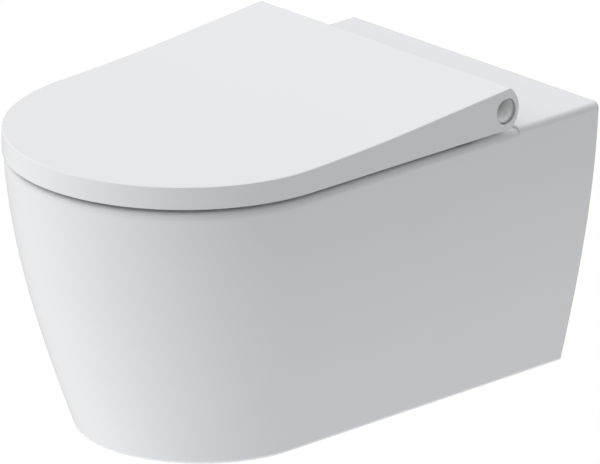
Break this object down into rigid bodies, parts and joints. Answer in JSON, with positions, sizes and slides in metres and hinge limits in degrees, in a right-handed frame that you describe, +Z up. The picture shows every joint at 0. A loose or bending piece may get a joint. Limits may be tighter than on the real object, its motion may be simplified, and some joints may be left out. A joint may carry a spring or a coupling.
{
  "type": "wall hung toilet",
  "caption": "White wall hung toilet: D-shaped ceramic pan with a rimless bowl, trap and rear outlet, and a soft-closing seat and thin lid on a top-fixed rear hinge.",
  "frame": {"origin": "on the wall plane, midway between the two wall fixing holes", "axes": "+Y into the wall, +Z up, the toilet stands out along -Y; +X is to the right of someone who faces the toilet"},
  "size_m": [0.363, 0.5755, 0.3352],
  "materials": {
    "glaze": "white glazed vitreous china",
    "lid_plastic": "white moulded thermoset, gloss",
    "seat_plastic": "white moulded thermoset, gloss",
    "cap_steel": "domed stainless steel, satin",
    "soft_rubber": "pale grey soft rubber",
    "dark_rubber": "black rubber",
    "cast_steel": "cast stainless steel, satin",
    "bright_steel": "turned stainless steel",
    "zinc_steel": "zinc plated steel",
    "brass": "turned brass",
    "grey_plastic": "grey nylon",
    "damper_plastic": "dark grey acetal",
    "rotor_plastic": "natural acetal"
  },
  "bodies": {
    "pan": {"ceramic_pan": "glaze", "bowl": "glaze", "trapway": "glaze", "flush_way": "glaze", "flush_inlet_seal": "dark_rubber", "wall_fixing_bushes": "grey_plastic", "wall_fixing_washers": "zinc_steel", "wall_fixing_nuts": "zinc_steel", "hinge_arm_left": "cast_steel", "hinge_arm_right": "cast_steel", "hinge_shaft_left": "bright_steel", "hinge_shaft_right": "bright_steel", "hinge_grub_screws": "bright_steel", "hinge_gaskets": "dark_rubber", "hinge_fixing_screws": "bright_steel", "hinge_expansion_sleeves": "dark_rubber", "hinge_cone_nuts": "brass", "lid_damper_rotor": "rotor_plastic", "seat_damper_rotor": "rotor_plastic"},
    "seat": {"seat_ring": "seat_plastic", "seat_buffers": "soft_rubber", "seat_damper_housing": "damper_plastic", "seat_damper_cover": "damper_plastic", "seat_hinge_bush": "damper_plastic"},
    "lid": {"lid": "lid_plastic", "lid_buffers": "soft_rubber", "lid_damper_housing": "damper_plastic", "lid_damper_cover": "damper_plastic", "lid_hinge_bush": "damper_plastic", "hinge_end_cap_left": "cap_steel", "hinge_end_cap_right": "cap_steel"}
  },
  "joints": [
    {"name": "seat_hinge", "type": "hinge", "parent": "pan", "child": "seat", "pos_m": [0, -0.1295, 0.1052], "axis": [-1, 0, 0], "range_deg": [0, 92.5]},
    {"name": "lid_hinge", "type": "hinge", "parent": "seat", "child": "lid", "pos_m": [0, -0.1295, 0.1052], "axis": [-1, 0, 0], "range_deg": [0, 90.5]}
  ]
}
